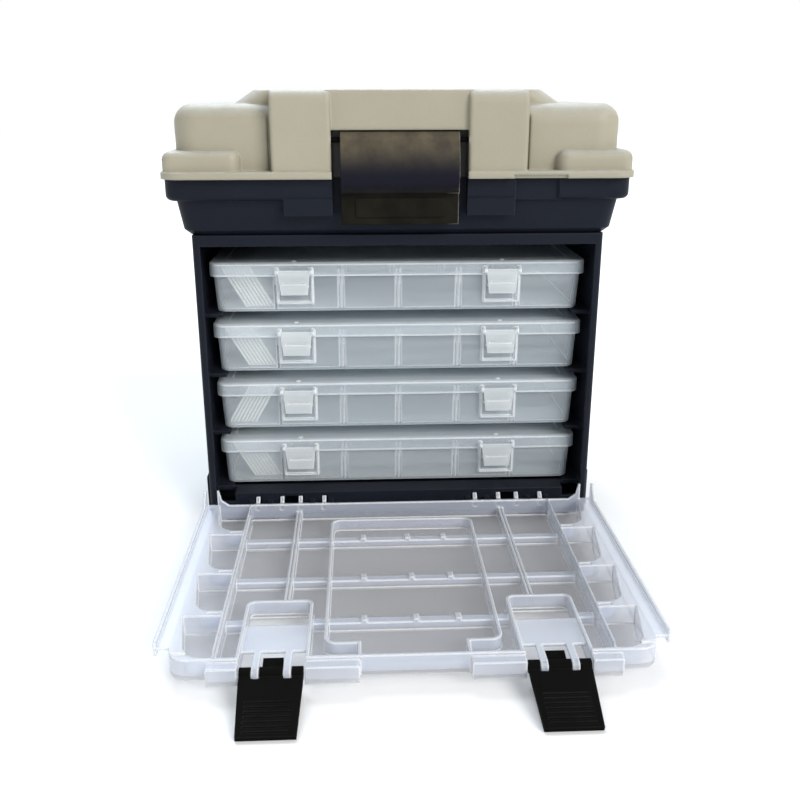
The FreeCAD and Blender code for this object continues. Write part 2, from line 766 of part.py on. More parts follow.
# The lid's lever: a barrel on a cross pin, a curved cover below it and a thinner
# grip plate set back at the foot.
def make_lever():
    x0 = -lever_half_width
    outer_top = Vector(x0, lever_axis_y - lever_hub_radius, lever_axis_z)
    outer_low = Vector(x0, lid_front, lever_step_z)
    outer_mid = Vector(x0, lever_front, (lever_axis_z + lever_step_z) / 2)
    inward = Vector(0, lever_thickness, 0)
    cover = Part.Wire([Part.Arc(outer_top, outer_mid, outer_low).toShape(),
                       Part.LineSegment(outer_low, outer_low + inward).toShape(),
                       Part.Arc(outer_low + inward, outer_mid + inward, outer_top + inward).toShape(),
                       Part.LineSegment(outer_top + inward, outer_top).toShape()])
    cover = Part.Face(cover).extrude(Vector(2 * lever_half_width, 0, 0))
    barrel = rod(x0, lever_half_width, lever_axis_y, lever_axis_z, lever_hub_radius)
    plate_front = lever_inner_low - lever_thickness
    plate = box(x0, lever_half_width, plate_front, lever_inner_low, lever_low, lever_step_z)
    shelf = box(x0, lever_half_width, lid_front, lever_inner_low, lever_step_z - lever_thickness,
                lever_step_z)
    grip = box(x0 + lever_grip_margin, lever_half_width - lever_grip_margin,
               plate_front - lever_grip_proud,
               plate_front, lever_low + lever_grip_margin / 2,
               lever_low + lever_grip_margin / 2 + lever_grip_height)
    cheek_profile = [(lid_front + lever_thickness / 2, lever_step_z),
                     (lever_front + lever_thickness / 2, (lever_axis_z + lever_step_z) / 2),
                     (lever_axis_y - lever_hub_radius + lever_thickness / 2, lever_axis_z),
                     (lever_axis_y + lever_hub_radius / 2, lever_axis_z), (lever_inner_low, lever_step_z)]
    cheeks = [prism_x(cheek_profile, x0, x0 + lever_cheek),
              prism_x(cheek_profile, lever_half_width - lever_cheek, lever_half_width)]
    lever = union([cover, barrel, plate, shelf, grip] + cheeks)
    bore = rod(x0 - overrun, lever_half_width + overrun, lever_axis_y, lever_axis_z,
               lever_pin_radius + running_space)
    return lever.cut(bore).removeSplitter()


def make_lever_pin():
    half = rib_inner + lid_wall + lever_pin_seat / 2
    return rod(-half, half, lever_axis_y, lever_axis_z, lever_pin_radius)


# The carry handle: a bar on two arms that folds flat into the lid's pan.
def make_handle():
    half = grip_half_length
    bar_back = handle_y - handle_reach + grip_bar_width / 2
    bar = box(-half, half, bar_back - grip_bar_width, bar_back, handle_z - grip_bar_height / 2,
              handle_z + grip_bar_height / 2)
    bar = soften(bar, grip_bar_round, lambda m: near(m.x, 0))
    pieces = [bar]
    for x0 in (-half, half - arm_width):
        x1 = x0 + arm_width
        arm = box(x0, x1, bar_back - grip_bar_width / 2, handle_y, handle_z - arm_height / 2,
                  handle_z + arm_height / 2)
        pieces.append(union([arm, rod(x0, x1, handle_y, handle_z, handle_hub_radius)]))
    bore = rod(-half - overrun, half + overrun, handle_y, handle_z, handle_pin_radius + running_space)
    return union(pieces).cut(bore).removeSplitter()


def make_handle_pins():
    inner = grip_half_length - arm_width
    outer = pan_half_width + pan_wall
    return Part.makeCompound(both(rod(inner, outer, handle_y, handle_z, handle_pin_radius)))


# The door: one clear moulding, a shallow dish with pockets down both sides,
# three raised bars across, a fence in the middle and a recess for each latch.
def make_door():
    half = door_half_width
    dish = slab(-half, half, door_front, door_rear + door_corner, foot_height, rim_top, door_corner)
    dish = dish.common(box(-half, half, door_front, door_rear, foot_height, rim_top))
    relief = box(-half - overrun, half + overrun, door_front - overrun, door_front + door_corner / 2,
                 rim_top - door_front_wall_drop, rim_top + overrun)
    middle = slab(-door_rib_place, door_rib_place, door_front + door_wall, door_rear - door_wall,
                  door_floor_top, rim_top + overrun, door_wall)
    bars = [door_rear - share * door_length for share in door_bar_shares]
    half_bar = door_bar_width / 2
    cell_rears = [door_rear - door_wall] + [bar - half_bar for bar in bars]
    cell_fronts = [bar + half_bar for bar in bars] + [door_front + door_wall]
    cuts = [middle, relief]
    for cell_rear, cell_front in zip(cell_rears, cell_fronts):
        cuts += both(side_pocket(cell_rear, cell_front))
    pieces = [dish.cut(cuts)]
    half_wall = door_wall / 2
    rib_top = door_floor_top + door_rib_height
    pieces += both(box(door_rib_place - half_wall, door_rib_place + half_wall, door_front + half_wall,
                       door_rear - door_corner, foot_height, rib_top))
    recess_rear = window_rear + recess_margin
    rib_low = door_double_rib_gap / 2
    rib_high = rib_low + door_double_rib_thickness
    for x0, x1 in ((door_inner_rib_place - rib_high, door_inner_rib_place - rib_low),
                   (door_inner_rib_place + rib_low, door_inner_rib_place + rib_high)):
        pieces += both(box(x0, x1, recess_rear - half_wall, door_rear - half_wall, foot_height,
                           foot_height + door_rib_height))
    pieces.append(make_fence())
    bar_top = foot_height + door_bar_height
    bar_cuts = []
    for bar in bars:
        pieces.append(box(-door_rib_place, door_rib_place, bar - half_bar, bar + half_bar, foot_height,
                          bar_top))
        for place in door_nub_places:
            pieces.append(box(place - door_nub_width / 2, place + door_nub_width / 2, bar - half_bar,
                              bar + half_bar, foot_height, bar_top + door_nub_height))
        bar_cuts.append(box(-door_rib_place + door_wall, door_rib_place - door_wall,
                            bar - half_bar + door_bar_skin,
                            bar + half_bar - door_bar_skin, foot_height - overrun,
                            bar_top - door_bar_skin))
        bar_cuts += both(box(door_rib_place + door_wall, door_side_inner - door_pocket_corner,
                             bar - door_slot_width / 2, bar + door_slot_width / 2,
                             rim_top - door_slot_depth, rim_top + overrun))
    for shape in door_side_parts():
        pieces += both(shape)
    for place in finger_places:
        pieces += both(make_finger(place))
    recess_half = latch_width / 2 + latch_side_space
    for x0, x1 in ((block_inner, latch_place - recess_half), (latch_place + recess_half, block_outer)):
        pieces += both(box(x0, x1, door_front - block_proud, door_front + half_wall, foot_height,
                           foot_height + block_height))
    door = union(pieces).cut(bar_cuts)
    recess = box(latch_place - recess_half, latch_place + recess_half, latch_y - overrun, window_rear,
                 foot_height - overrun, rim_top + overrun)
    door = door.cut(both(recess))
    recess_pieces = []
    for shape in recess_parts(recess_half):
        recess_pieces += both(shape)
    door = union([door] + recess_pieces)
    hinge_half = finger_places[-1] + finger_width
    bores = [rod(-hinge_half, hinge_half, hinge_y, hinge_z, hinge_rod_radius + running_space)]
    lug_reach = latch_lug_place + latch_lug_width
    bores += both(rod(latch_place - lug_reach, latch_place + lug_reach, latch_y, latch_z,
                      latch_pin_radius))
    return door.cut(bores).removeSplitter()


def side_pocket(cell_rear, cell_front):
    # A pocket whose outer wall leans in to a large round corner at its front end.
    inner = door_rib_place + door_wall / 2
    outer = door_side_inner + door_wall
    taper = door_side_inner - door_pocket_corner / 4
    turn = door_pocket_corner * (1 - math.sqrt(0.5))
    a = Vector(inner, cell_rear, door_floor_top)
    b = Vector(outer, cell_rear, door_floor_top)
    c = Vector(taper, cell_front + door_pocket_corner, door_floor_top)
    d = Vector(taper - turn, cell_front + turn, door_floor_top)
    e = Vector(taper - door_pocket_corner, cell_front, door_floor_top)
    f = Vector(inner, cell_front, door_floor_top)
    wire = Part.Wire([Part.LineSegment(a, b).toShape(), Part.LineSegment(b, c).toShape(),
                      Part.Arc(c, d, e).toShape(), Part.LineSegment(e, f).toShape(),
                      Part.LineSegment(f, a).toShape()])
    return Part.Face(wire).extrude(Vector(0, 0, door_height))


def recess_parts(half):
    # Walls round the recess, a ceiling over the folded latch and two pivot lugs.
    x0 = latch_place - half
    x1 = latch_place + half
    half_wall = door_wall / 2
    ring_rear = window_rear + recess_margin
    ring_front = door_front + half_wall
    ring = slab(x0 - door_wall, x1 + door_wall, ring_front - door_corner, ring_rear, foot_height,
                foot_height + recess_wall_height, door_corner / 2)
    hole = slab(x0, x1, ring_front - 2 * door_corner, ring_rear - door_wall, foot_height - overrun,
                rim_top, door_corner / 2 - door_wall)
    ring = ring.cut(hole).common(box(x0 - overrun, x1 + overrun, ring_front, ring_rear, foot_height,
                                     rim_top))
    strip = box(x0 - half_wall, x1 + half_wall, window_rear, ring_rear - half_wall, foot_height,
                door_floor_top)
    ceiling_z = foot_height + recess_ceiling_height
    ceiling_front = latch_y + tongue_reach + 2 * latch_side_space
    ceiling = box(x0 - half_wall, x1 + half_wall, ceiling_front,
                  latch_y + latch_length + latch_side_space,
                  ceiling_z, ceiling_z + door_floor)
    parts = [ring, strip, ceiling]
    for place in (latch_place - latch_lug_place, latch_place + latch_lug_place):
        a = place - latch_lug_width / 2
        b = place + latch_lug_width / 2
        arm = box(a, b, latch_y, ceiling_front + door_wall, ceiling_z, ceiling_z + door_floor)
        parts.append(union([arm, rod(a, b, latch_y, latch_z, latch_hub_radius)]))
    return parts


def make_fence():
    # A thin wall round the middle field that narrows to a neck at the front.
    rear = door_rear - door_fence_inset
    shoulder = door_front + door_fence_shoulder
    top = door_floor_top + door_rib_height
    half = door_fence_half_width
    neck = door_fence_neck
    field = slab(-half, half, shoulder, rear, foot_height, top, door_fence_corner)
    throat = box(-neck, neck, door_front + door_wall / 2, shoulder + door_fence_corner, foot_height, top)
    inner_field = slab(-half + door_wall, half - door_wall, shoulder + door_wall, rear - door_wall,
                       foot_height - overrun, top + overrun, door_fence_corner - door_wall)
    inner_throat = box(-neck + door_wall, neck - door_wall, door_front - overrun,
                       shoulder + door_fence_corner,
                       foot_height - overrun, top + overrun)
    return union([field, throat]).cut([inner_field, inner_throat])


def door_side_parts():
    # The flange beside the pockets, its lip, the ear and the post by the hinge.
    inner = door_half_width - door_wall / 2
    outer = door_flange_half_width
    lip_inner = outer - door_lip_thickness
    side_front = door_front + door_corner
    flange = box(inner, outer, side_front, door_rear, rim_top - door_floor, rim_top)
    lip = box(lip_inner, outer, side_front, door_rear, rim_top - door_floor - door_flange_drop,
              rim_top + door_lip_height)
    ear_top = rim_top + door_ear_height
    ear = prism_x([(door_rear - door_ear_length, rim_top), (door_rear, rim_top), (door_rear, ear_top),
                   (door_rear - door_ear_length + door_ear_top, ear_top)], lip_inner, outer)
    post_inner = door_side_inner - door_wall
    horn = prism_y([(post_inner - door_post_width, rim_top - door_wall), (inner, rim_top - door_wall),
                    (inner, ear_top), (post_inner + 2 * door_wall, ear_top),
                    (post_inner + door_wall, rim_top + door_post_step)],
                   door_rear - door_wall, door_rear)
    return [flange, lip, ear, horn]


def make_finger(place):
    # A knuckle on the hinge rod with a tail that stops the door when it is open.
    x0 = place - finger_width / 2
    x1 = place + finger_width / 2
    knuckle = rod(x0, x1, hinge_y, hinge_z, hinge_knuckle_radius)
    arm = box(x0, x1, door_rear - door_wall / 2, hinge_y, hinge_z - hinge_knuckle_radius, rim_top)
    tail_y = hinge_y + finger_tail_reach
    tail_z = hinge_z + finger_tail_rise
    tail = prism_x([(hinge_y - hinge_knuckle_radius / 2, hinge_z + hinge_knuckle_radius / 2),
                    (hinge_y + hinge_knuckle_radius / 2, hinge_z), (tail_y,
                                                                    tail_z - finger_tail_width / 2),
                    (tail_y, tail_z), (tail_y - finger_tail_width, tail_z)], x0, x1)
    return union([knuckle, arm, tail])


def make_hinge_rods():
    inner = hinge_lug_places[0] - hinge_lug_width / 2
    outer = hinge_lug_places[-1] + hinge_lug_width / 2
    return Part.makeCompound(both(rod(inner, outer, hinge_y, hinge_z, hinge_rod_radius)))


# A door latch: a black plate with a hooked tongue, on a pin through the door's
# lugs. It is drawn level and then turned down until its tip is near the floor.
def make_latch(side):
    half = latch_width / 2
    tip = latch_tip_width / 2
    face = latch_thickness / 2
    hub = latch_hub_radius
    plate = prism_z([(-half, 0), (half, 0), (half, -latch_root_length), (tip, -latch_length),
                     (-tip, -latch_length), (-half, -latch_root_length)], -face, face)
    barrel = rod(-half, half, 0, 0, hub)
    tongue_low = -tongue_offset - tongue_thickness / 2
    tongue_high = -tongue_offset + tongue_thickness / 2
    tongue = prism_x([(-hub / 2, tongue_high), (0, tongue_low), (tongue_reach, tongue_low),
                      (tongue_reach, tongue_high), (hub, tongue_high), (hub, 0), (-hub / 2, 0)],
                     -tongue_width / 2, tongue_width / 2)
    latch = union([plate, barrel, tongue])
    cuts = [rod(-half - overrun, half + overrun, 0, 0, latch_pin_radius + running_space)]
    gap = latch_lug_width / 2 + latch_lug_space
    for place in (-latch_lug_place, latch_lug_place):
        cuts.append(box(place - gap, place + gap, -hub - latch_notch_space, hub + overrun,
                        -hub - overrun, hub + overrun))
    for number in range(1, grip_count + 1):
        y = -latch_length + number * grip_pitch
        cuts.append(box(-tip + grip_side_margin, tip - grip_side_margin, y - grip_width / 2,
                        y + grip_width / 2,
                        face - grip_depth, face + overrun))
    latch = latch.cut(cuts).removeSplitter()
    latch.rotate(Vector(0, 0, 0), Vector(1, 0, 0), latch_angle)
    latch.translate(Vector(side * latch_place, latch_y, latch_z))
    return latch


def make_latch_pins():
    half = latch_lug_place + latch_lug_width / 2 + latch_pin_beyond
    return Part.makeCompound(both(rod(latch_place - half, latch_place + half, latch_y, latch_z,
                                      latch_pin_radius)))


# One tray box: an open base with a fixed cross wall and slot ribs, drawn for
# the lowest place and copied upwards.
def make_tray_base():
    low = lowest_tray
    top = low + tray_height - tray_wall - tray_lid_space
    half_top = tray_width / 2 - tray_wall - tray_rim_space
    half_low = half_top - tray_draft
    y0 = tray_front + tray_wall + tray_rim_space
    y1 = tray_back - tray_wall - tray_rim_space
    outer = tub([(-half_low, half_low, y0 + tray_draft, y1 - tray_draft, tray_corner, low),
                 (-half_top, half_top, y0, y1, tray_corner, top)])
    outer = soften(outer, tray_wall, lambda m: near(m.z, low))
    skin = tray_draft + tray_wall
    hollow = tub([(-half_low + tray_wall, half_low - tray_wall, y0 + skin, y1 - skin,
                   tray_corner - tray_wall,
                   low + tray_wall),
                  (-half_top + tray_wall, half_top - tray_wall, y0 + tray_wall, y1 - tray_wall,
                   tray_corner - tray_wall, top)])
    half_wall = tray_wall / 2
    wall_top = top - tray_wall
    pieces = [outer.cut(hollow),
              box(-tray_cross_wall - half_wall, -tray_cross_wall + half_wall, y0 + skin - half_wall,
                  y1 - skin + half_wall, low + half_wall, wall_top)]
    rib_top = wall_top - tray_slot_margin
    for centre in tray_slot_places:
        for x in (centre - tray_slot_gap / 2, centre + tray_slot_gap / 2):
            x0 = x - tray_slot_rib / 2
            x1 = x + tray_slot_rib / 2
            pieces.append(box(x0, x1, y0 + skin - half_wall, y0 + skin + tray_slot_depth,
                              low + half_wall, rib_top))
            pieces.append(box(x0, x1, y1 - skin - tray_slot_depth, y1 - skin + half_wall,
                              low + half_wall, rib_top))
    catch_z = clip_z - clip_length + clip_catch_rise
    catch_front = clip_plate_front + clip_thickness + clip_hook_depth + clip_catch_space
    wall_middle = y0 + skin - half_wall
    catch_half = clip_foot_width / 2
    pieces += both(box(clip_place - catch_half, clip_place + catch_half, catch_front, wall_middle,
                       catch_z,
                       catch_z + clip_thickness))
    frame_inner = clip_width / 2 + clip_frame_space
    frame_outer = frame_inner + clip_frame_width
    frame_front = y0 - clip_frame_proud
    frame_low = clip_z - clip_frame_length
    frame_high = tray_rim_bottom - tray_lid_space
    pieces += both(box(clip_place - frame_outer, clip_place + frame_outer, frame_front, wall_middle,
                       frame_low,
                       frame_low + clip_frame_width))
    for x0, x1 in ((-frame_outer, -frame_inner), (frame_inner, frame_outer)):
        pieces += both(box(clip_place + x0, clip_place + x1, frame_front, wall_middle, frame_low,
                           frame_high))
    web_back = y1 - tray_draft - half_wall
    for x0, x1 in base_knuckle_spans():
        knuckle = rod(x0, x1, tray_hinge_y, tray_hinge_z, tray_knuckle_radius)
        web = prism_x([(web_back, tray_hinge_z - 2 * tray_knuckle_radius),
                       (tray_hinge_y, tray_hinge_z - tray_knuckle_radius), (tray_hinge_y, tray_hinge_z),
                       (web_back, tray_hinge_z + tray_knuckle_radius)], x0, x1)
        pieces += [knuckle, web]
    bores = [rod(x0, x1, tray_hinge_y, tray_hinge_z, tray_hinge_pin_radius) for x0,
             x1 in base_knuckle_spans()]
    return union(pieces).cut(bores).removeSplitter()


def base_knuckle_spans():
    # Two base knuckles outside each lid knuckle.
    spans = []
    near_side = tray_knuckle_length / 2 + tray_lid_space
    for centre in (-clip_place, clip_place):
        spans.append((centre - near_side - tray_knuckle_length, centre - near_side))
        spans.append((centre + near_side, centre + near_side + tray_knuckle_length))
    return spans


def make_tray_lid():
    half = tray_width / 2
    top = lowest_tray + tray_height
    cap = slab(-half, half, tray_front, tray_back, tray_rim_bottom, top, tray_corner)
    cap = soften(cap, tray_edge_round, lambda m: near(m.z, top))
    hollow = slab(-half + tray_wall, half - tray_wall, tray_front + tray_wall, tray_back - tray_wall,
                  tray_rim_bottom - overrun, top - tray_wall, tray_corner - tray_wall)
    panel = slab(-half + tray_panel_inset, half - tray_panel_inset, tray_front + tray_panel_inset,
                 tray_back - tray_panel_inset, top - tray_panel_depth, top + overrun, tray_corner)
    pieces = [cap.cut([hollow, panel])]
    ear_gap = clip_width / 2 + clip_end_space
    bore_reach = clip_width / 2 + clip_ear_length
    bores = []
    for centre in (-clip_place, clip_place):
        pieces.append(box(centre - tray_nub_width / 2, centre + tray_nub_width / 2,
                          tray_front + tray_nub_width,
                          tray_front + 2 * tray_nub_width, top - tray_wall, top + tray_nub_height))
        for x0, x1 in ((centre - bore_reach, centre - ear_gap), (centre + ear_gap, centre + bore_reach)):
            block = box(x0, x1, clip_y, tray_front + tray_wall / 2, clip_z - clip_ear_radius,
                        clip_z + clip_ear_radius)
            pieces.append(union([block, rod(x0, x1, clip_y, clip_z, clip_ear_radius)]))
        x0 = centre - tray_knuckle_length / 2
        x1 = centre + tray_knuckle_length / 2
        strap = box(x0, x1, tray_back - tray_wall / 2, tray_hinge_y + tray_knuckle_radius, tray_hinge_z,
                    tray_rim_bottom + tray_knuckle_radius)
        pieces.append(union([strap, rod(x0, x1, tray_hinge_y, tray_hinge_z, tray_knuckle_radius)]))
        bores.append(rod(x0, x1, tray_hinge_y, tray_hinge_z, tray_hinge_pin_radius + running_space))
        bores.append(rod(centre - bore_reach, centre + bore_reach, clip_y, clip_z,
                         clip_trunnion_radius + running_space))
    return union(pieces).cut(bores).removeSplitter()


def make_tray_clip(side):
    # A clear latch that turns on two trunnions in the lid's ears.
    centre = side * clip_place
    half = clip_width / 2
    foot = clip_foot_width / 2
    low = clip_z - clip_length
    plate_back = clip_plate_front + clip_thickness
    plate = prism_y([(centre - half, clip_z + clip_trunnion_radius), (centre + half,
                                                                      clip_z + clip_trunnion_radius),
                     (centre + half, clip_z - clip_thickness), (centre + foot, low), (centre - foot, low),
                     (centre - half, clip_z - clip_thickness)], clip_plate_front, plate_back)
    reach = half + clip_ear_length
    trunnions = rod(centre - reach, centre + reach, clip_y, clip_z, clip_trunnion_radius)
    hook = box(centre - foot, centre + foot, clip_plate_front, plate_back + clip_hook_depth, low,
               low + clip_hook_height)
    groove = box(centre - foot + clip_groove_margin, centre + foot - clip_groove_margin,
                 clip_plate_front - overrun,
                 clip_plate_front + clip_groove, low + clip_groove_rise,
                 low + clip_groove_rise + clip_groove_height)
    return union([plate, trunnions, hook]).cut(groove).removeSplitter()


def make_tray_pins():
    half = tray_knuckle_length * 3 / 2 + tray_lid_space
    return Part.makeCompound(both(rod(clip_place - half, clip_place + half, tray_hinge_y, tray_hinge_z,
                                      tray_hinge_pin_radius)))


# The spare dividers: long white plates that lean side by side in the tray's left
# compartment.
def make_dividers(leans_left):
    low = lowest_tray + tray_wall + divider_floor_space
    right = -tray_cross_wall - tray_wall / 2 - divider_wall_space
    lean = math.radians(divider_lean)
    run = divider_height * math.cos(lean)
    rise = divider_height * math.sin(lean)
    width = divider_thickness / math.sin(lean)
    left = right - divider_count * divider_pitch - run
    y0 = tray_front + divider_end_space
    y1 = tray_back - divider_end_space
    plates = []
    for number in range(divider_count):
        foot = right - number * divider_pitch
        corners = [(foot, low), (foot - width, low), (foot - width - run, low + rise), (foot - run,
                                                                                        low + rise)]
        if not leans_left:
            corners = [(left + right - x, z) for x, z in corners]
        plates.append(prism_y(corners, y0, y1))
    return Part.makeCompound(plates)


def raised(shape, number):
    # A copy of a lowest-tray shape, moved up to another tray's place.
    copy = shape.copy()
    copy.translate(Vector(0, 0, (number - 1) * tray_pitch))
    return copy


def make_all():
    nodes = {"cabinet_body": make_body(), "top_bin": make_bin(), "bin_screws": make_bin_screws(),
             "lid": make_lid(), "lid_hinge_rods": make_lid_hinge_rods(), "lid_latch": make_lever(),
             "lid_latch_pin": make_lever_pin(), "carry_handle": make_handle(),
             "handle_pins": make_handle_pins(),
             "door": make_door(), "door_hinge_rods": make_hinge_rods(), "door_latch_left": make_latch(-1),
             "door_latch_right": make_latch(1), "door_latch_pins": make_latch_pins()}
    base = make_tray_base()
    cap = make_tray_lid()
    clips = {"left": make_tray_clip(-1), "right": make_tray_clip(1)}
    pins = make_tray_pins()
    stacks = {True: make_dividers(True), False: make_dividers(False)}
    for number in range(1, tray_count + 1):
        name = "tray_" + str(number)
        nodes[name + "_base"] = raised(base, number)
        nodes[name + "_lid"] = raised(cap, number)
        nodes[name + "_latch_left"] = raised(clips["left"], number)
        nodes[name + "_latch_right"] = raised(clips["right"], number)
        nodes[name + "_hinge_pins"] = raised(pins, number)
        nodes[name + "_dividers"] = raised(stacks[number != right_leaning_tray], number)
    return nodes


if __name__ == "__main__":
    os.makedirs("parts", exist_ok=True)
    for node, solid in make_all().items():
        solid.exportStep("parts/" + node + ".step")
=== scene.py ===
import math

import bpy
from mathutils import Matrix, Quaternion, Vector


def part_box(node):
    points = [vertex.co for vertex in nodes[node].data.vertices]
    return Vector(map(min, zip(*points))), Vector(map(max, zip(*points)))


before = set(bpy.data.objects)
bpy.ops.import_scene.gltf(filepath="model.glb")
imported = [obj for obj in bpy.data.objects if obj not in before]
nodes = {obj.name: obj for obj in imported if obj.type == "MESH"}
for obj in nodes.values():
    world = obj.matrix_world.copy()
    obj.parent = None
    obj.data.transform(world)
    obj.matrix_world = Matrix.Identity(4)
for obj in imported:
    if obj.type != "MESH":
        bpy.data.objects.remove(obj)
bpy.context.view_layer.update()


# The viewpoint: a short lens in front of the cabinet, a little to its left and
# just above its lid, looking down on the open door.
lens_place = Vector((-0.02355, -0.61048, 0.26393))
look_down = math.radians(18.44)
look_right = math.radians(2.53)
camera_roll = math.radians(0.06)
sensor_side = 36.0
focal_share = 917.89 / 800

camera_data = bpy.data.cameras.new("front_view")
camera_data.sensor_width = sensor_side
camera_data.lens = focal_share * sensor_side
camera = bpy.data.objects.new("front_view", camera_data)
forward = Vector((math.sin(look_right) * math.cos(look_down),
                  math.cos(look_right) * math.cos(look_down), -math.sin(look_down)))
camera.location = lens_place
camera.rotation_mode = "QUATERNION"
camera.rotation_quaternion = Quaternion(forward, camera_roll) @ forward.to_track_quat("-Z", "Y")
bpy.context.scene.collection.objects.link(camera)
bpy.context.scene.camera = camera


# The studio: a pale floor that runs out to a white surround, even light from
# all sides, one soft lamp from the upper right and a cool one from behind.
floor_half = 6.0
floor_white = (0.93, 0.93, 0.93, 1)
floor_lift = 0.07
surround_white = (1, 1, 1, 1)
surround_light = 0.46
surround_seen = 1.0
lamps = {"window": {"from": (0.75, -0.95, 0.7), "power": 2.3, "tint": (1.0, 0.985, 0.955), "spread": 30},
         "skylight": {"from": (-0.15, 0.75, 0.95), "power": 2.7, "tint": (0.80, 0.90, 1.0), "spread": 40}}
clear_layers = 64


def add_node(tree, kind, takes=None, **settings):
    # One shader node, with its settings, and its sockets linked or filled in.
    made = tree.nodes.new("ShaderNode" + kind)
    for name, value in settings.items():
        setattr(made, name, value)
    for name, value in (takes or {}).items():
        if isinstance(value, bpy.types.NodeSocket):
            tree.links.new(value, made.inputs[name])
        else:
            made.inputs[name].default_value = value
    return made


def background_seen(tree):
    # 1 where the surround is looked at, straight or in a reflection, and 0
    # where it only gives light.
    path = add_node(tree, "LightPath").outputs
    seen = add_node(tree, "Math", {0: path["Is Camera Ray"], 1: path["Is Glossy Ray"]}, operation="MAXIMUM")
    return add_node(tree, "Math", {0: seen.outputs[0], 1: path["Is Transmission Ray"]},
                    operation="MAXIMUM").outputs[0]


floor_mesh = bpy.data.meshes.new("studio_floor")
floor_mesh.from_pydata([(-floor_half, -floor_half, 0), (floor_half, -floor_half, 0),
                        (floor_half, floor_half, 0), (-floor_half, floor_half, 0)], [], [(0, 1, 2, 3)])
floor_mesh.update()
floor = bpy.data.objects.new("studio_floor", floor_mesh)
bpy.context.scene.collection.objects.link(floor)
floor_paint = bpy.data.materials.new("studio_floor")
floor_paint.use_nodes = True
tree = floor_paint.node_tree
tree.nodes.clear()
lift = add_node(tree, "Math", {0: background_seen(tree), 1: floor_lift}, operation="MULTIPLY")
matt = add_node(tree, "BsdfDiffuse", {"Color": floor_white})
glow = add_node(tree, "Emission", {"Strength": lift.outputs[0]})
lit_floor = add_node(tree, "AddShader", {0: matt.outputs[0], 1: glow.outputs[0]})
add_node(tree, "OutputMaterial", {"Surface": lit_floor.outputs[0]})
floor_mesh.materials.append(floor_paint)

world = bpy.data.worlds.new("surround")
world.use_nodes = True
tree = world.node_tree
tree.nodes.clear()
strength = add_node(tree, "MapRange", {"Value": background_seen(tree), "To Min": surround_light,
                                       "To Max": surround_seen})
sky = add_node(tree, "Background", {"Color": surround_white, "Strength": strength.outputs[0]})
add_node(tree, "OutputWorld", {"Surface": sky.outputs[0]})
bpy.context.scene.world = world

for lamp_name, light in lamps.items():
    lamp = bpy.data.lights.new(lamp_name, "SUN")
    lamp.energy = light["power"]
    lamp.color = light["tint"]
    lamp.angle = math.radians(light["spread"])
    lamp_object = bpy.data.objects.new(lamp_name, lamp)
    lamp_object.rotation_mode = "QUATERNION"
    lamp_object.rotation_quaternion = Vector(light["from"]).to_track_quat("Z", "Y")
    bpy.context.scene.collection.objects.link(lamp_object)
bpy.context.scene.view_settings.view_transform = "Standard"
bpy.context.scene.cycles.transparent_max_bounces = clear_layers


# The body and the bin: two injection mouldings in very dark navy plastic with
# a fine spark-eroded grain. The bin is screwed down on the body, and both are
# rubbed paler where hands and boxes touch their edges.
pigment_drift = {"Scale": 14.0, "Contrast": 1.6}
edge_patches = {"Patchiness": 0.55, "Patch Scale": 70.0}
dust_and_sheen_scale = 120.0
relief_depth = 0.0004
pure_white = (1, 1, 1, 1)


def open_group(name, takes, gives):
    # An empty node group with named sockets, and its two ends.
    group = bpy.data.node_groups.new(name, "ShaderNodeTree")
    for label, value in takes.items():
        group.interface.new_socket(label, in_out="INPUT", socket_type="NodeSocketFloat").default_value = value
    for label, kind in gives.items():
        group.interface.new_socket(label, in_out="OUTPUT", socket_type="NodeSocket" + kind)
    return group, group.nodes.new("NodeGroupInput").outputs, group.nodes.new("NodeGroupOutput").inputs


def use_group(tree, group, takes):
    made = tree.nodes.new("ShaderNodeGroup")
    made.node_tree = group
    for name, value in takes.items():
        made.inputs[name].default_value = value
    return made.outputs


def rubbed_edge_group():
    # How near a point lies to an edge, from the difference between the true
    # normal and the normal of a rounded edge, broken up by a coarse noise.
    group, given, result = open_group(
        "rubbed_edge", {"Radius": 0.001, "Gain": 4.0, "Patchiness": 0.5, "Patch Scale": 60.0},
        {"Mask": "Float", "Rounded Normal": "Vector"})
    round_edge = add_node(group, "Bevel", {"Radius": given["Radius"]}, samples=6)
    flat = add_node(group, "NewGeometry")
    match = add_node(group, "VectorMath", {0: round_edge.outputs[0], 1: flat.outputs["Normal"]},
                     operation="DOT_PRODUCT")
    turned = add_node(group, "Math", {0: 1.0, 1: match.outputs["Value"]}, operation="SUBTRACT")
    gained = add_node(group, "Math", {0: turned.outputs[0], 1: given["Gain"]}, operation="MULTIPLY")
    where = add_node(group, "TexCoord").outputs["Object"]
    patch = add_node(group, "TexNoise", {"Vector": where, "Scale": given["Patch Scale"], "Detail": 3.0})
    wave = add_node(group, "MapRange", {"Value": patch.outputs[0], "From Min": 0.35, "From Max": 0.65})
    kept = add_node(group, "Mix", {"Factor": given["Patchiness"], 2: 1.0, 3: wave.outputs[0]})
    mask = add_node(group, "Math", {0: gained.outputs[0], 1: kept.outputs[0]}, operation="MULTIPLY",
                    use_clamp=True)
    group.links.new(mask.outputs[0], result["Mask"])
    group.links.new(round_edge.outputs[0], result["Rounded Normal"])
    return group


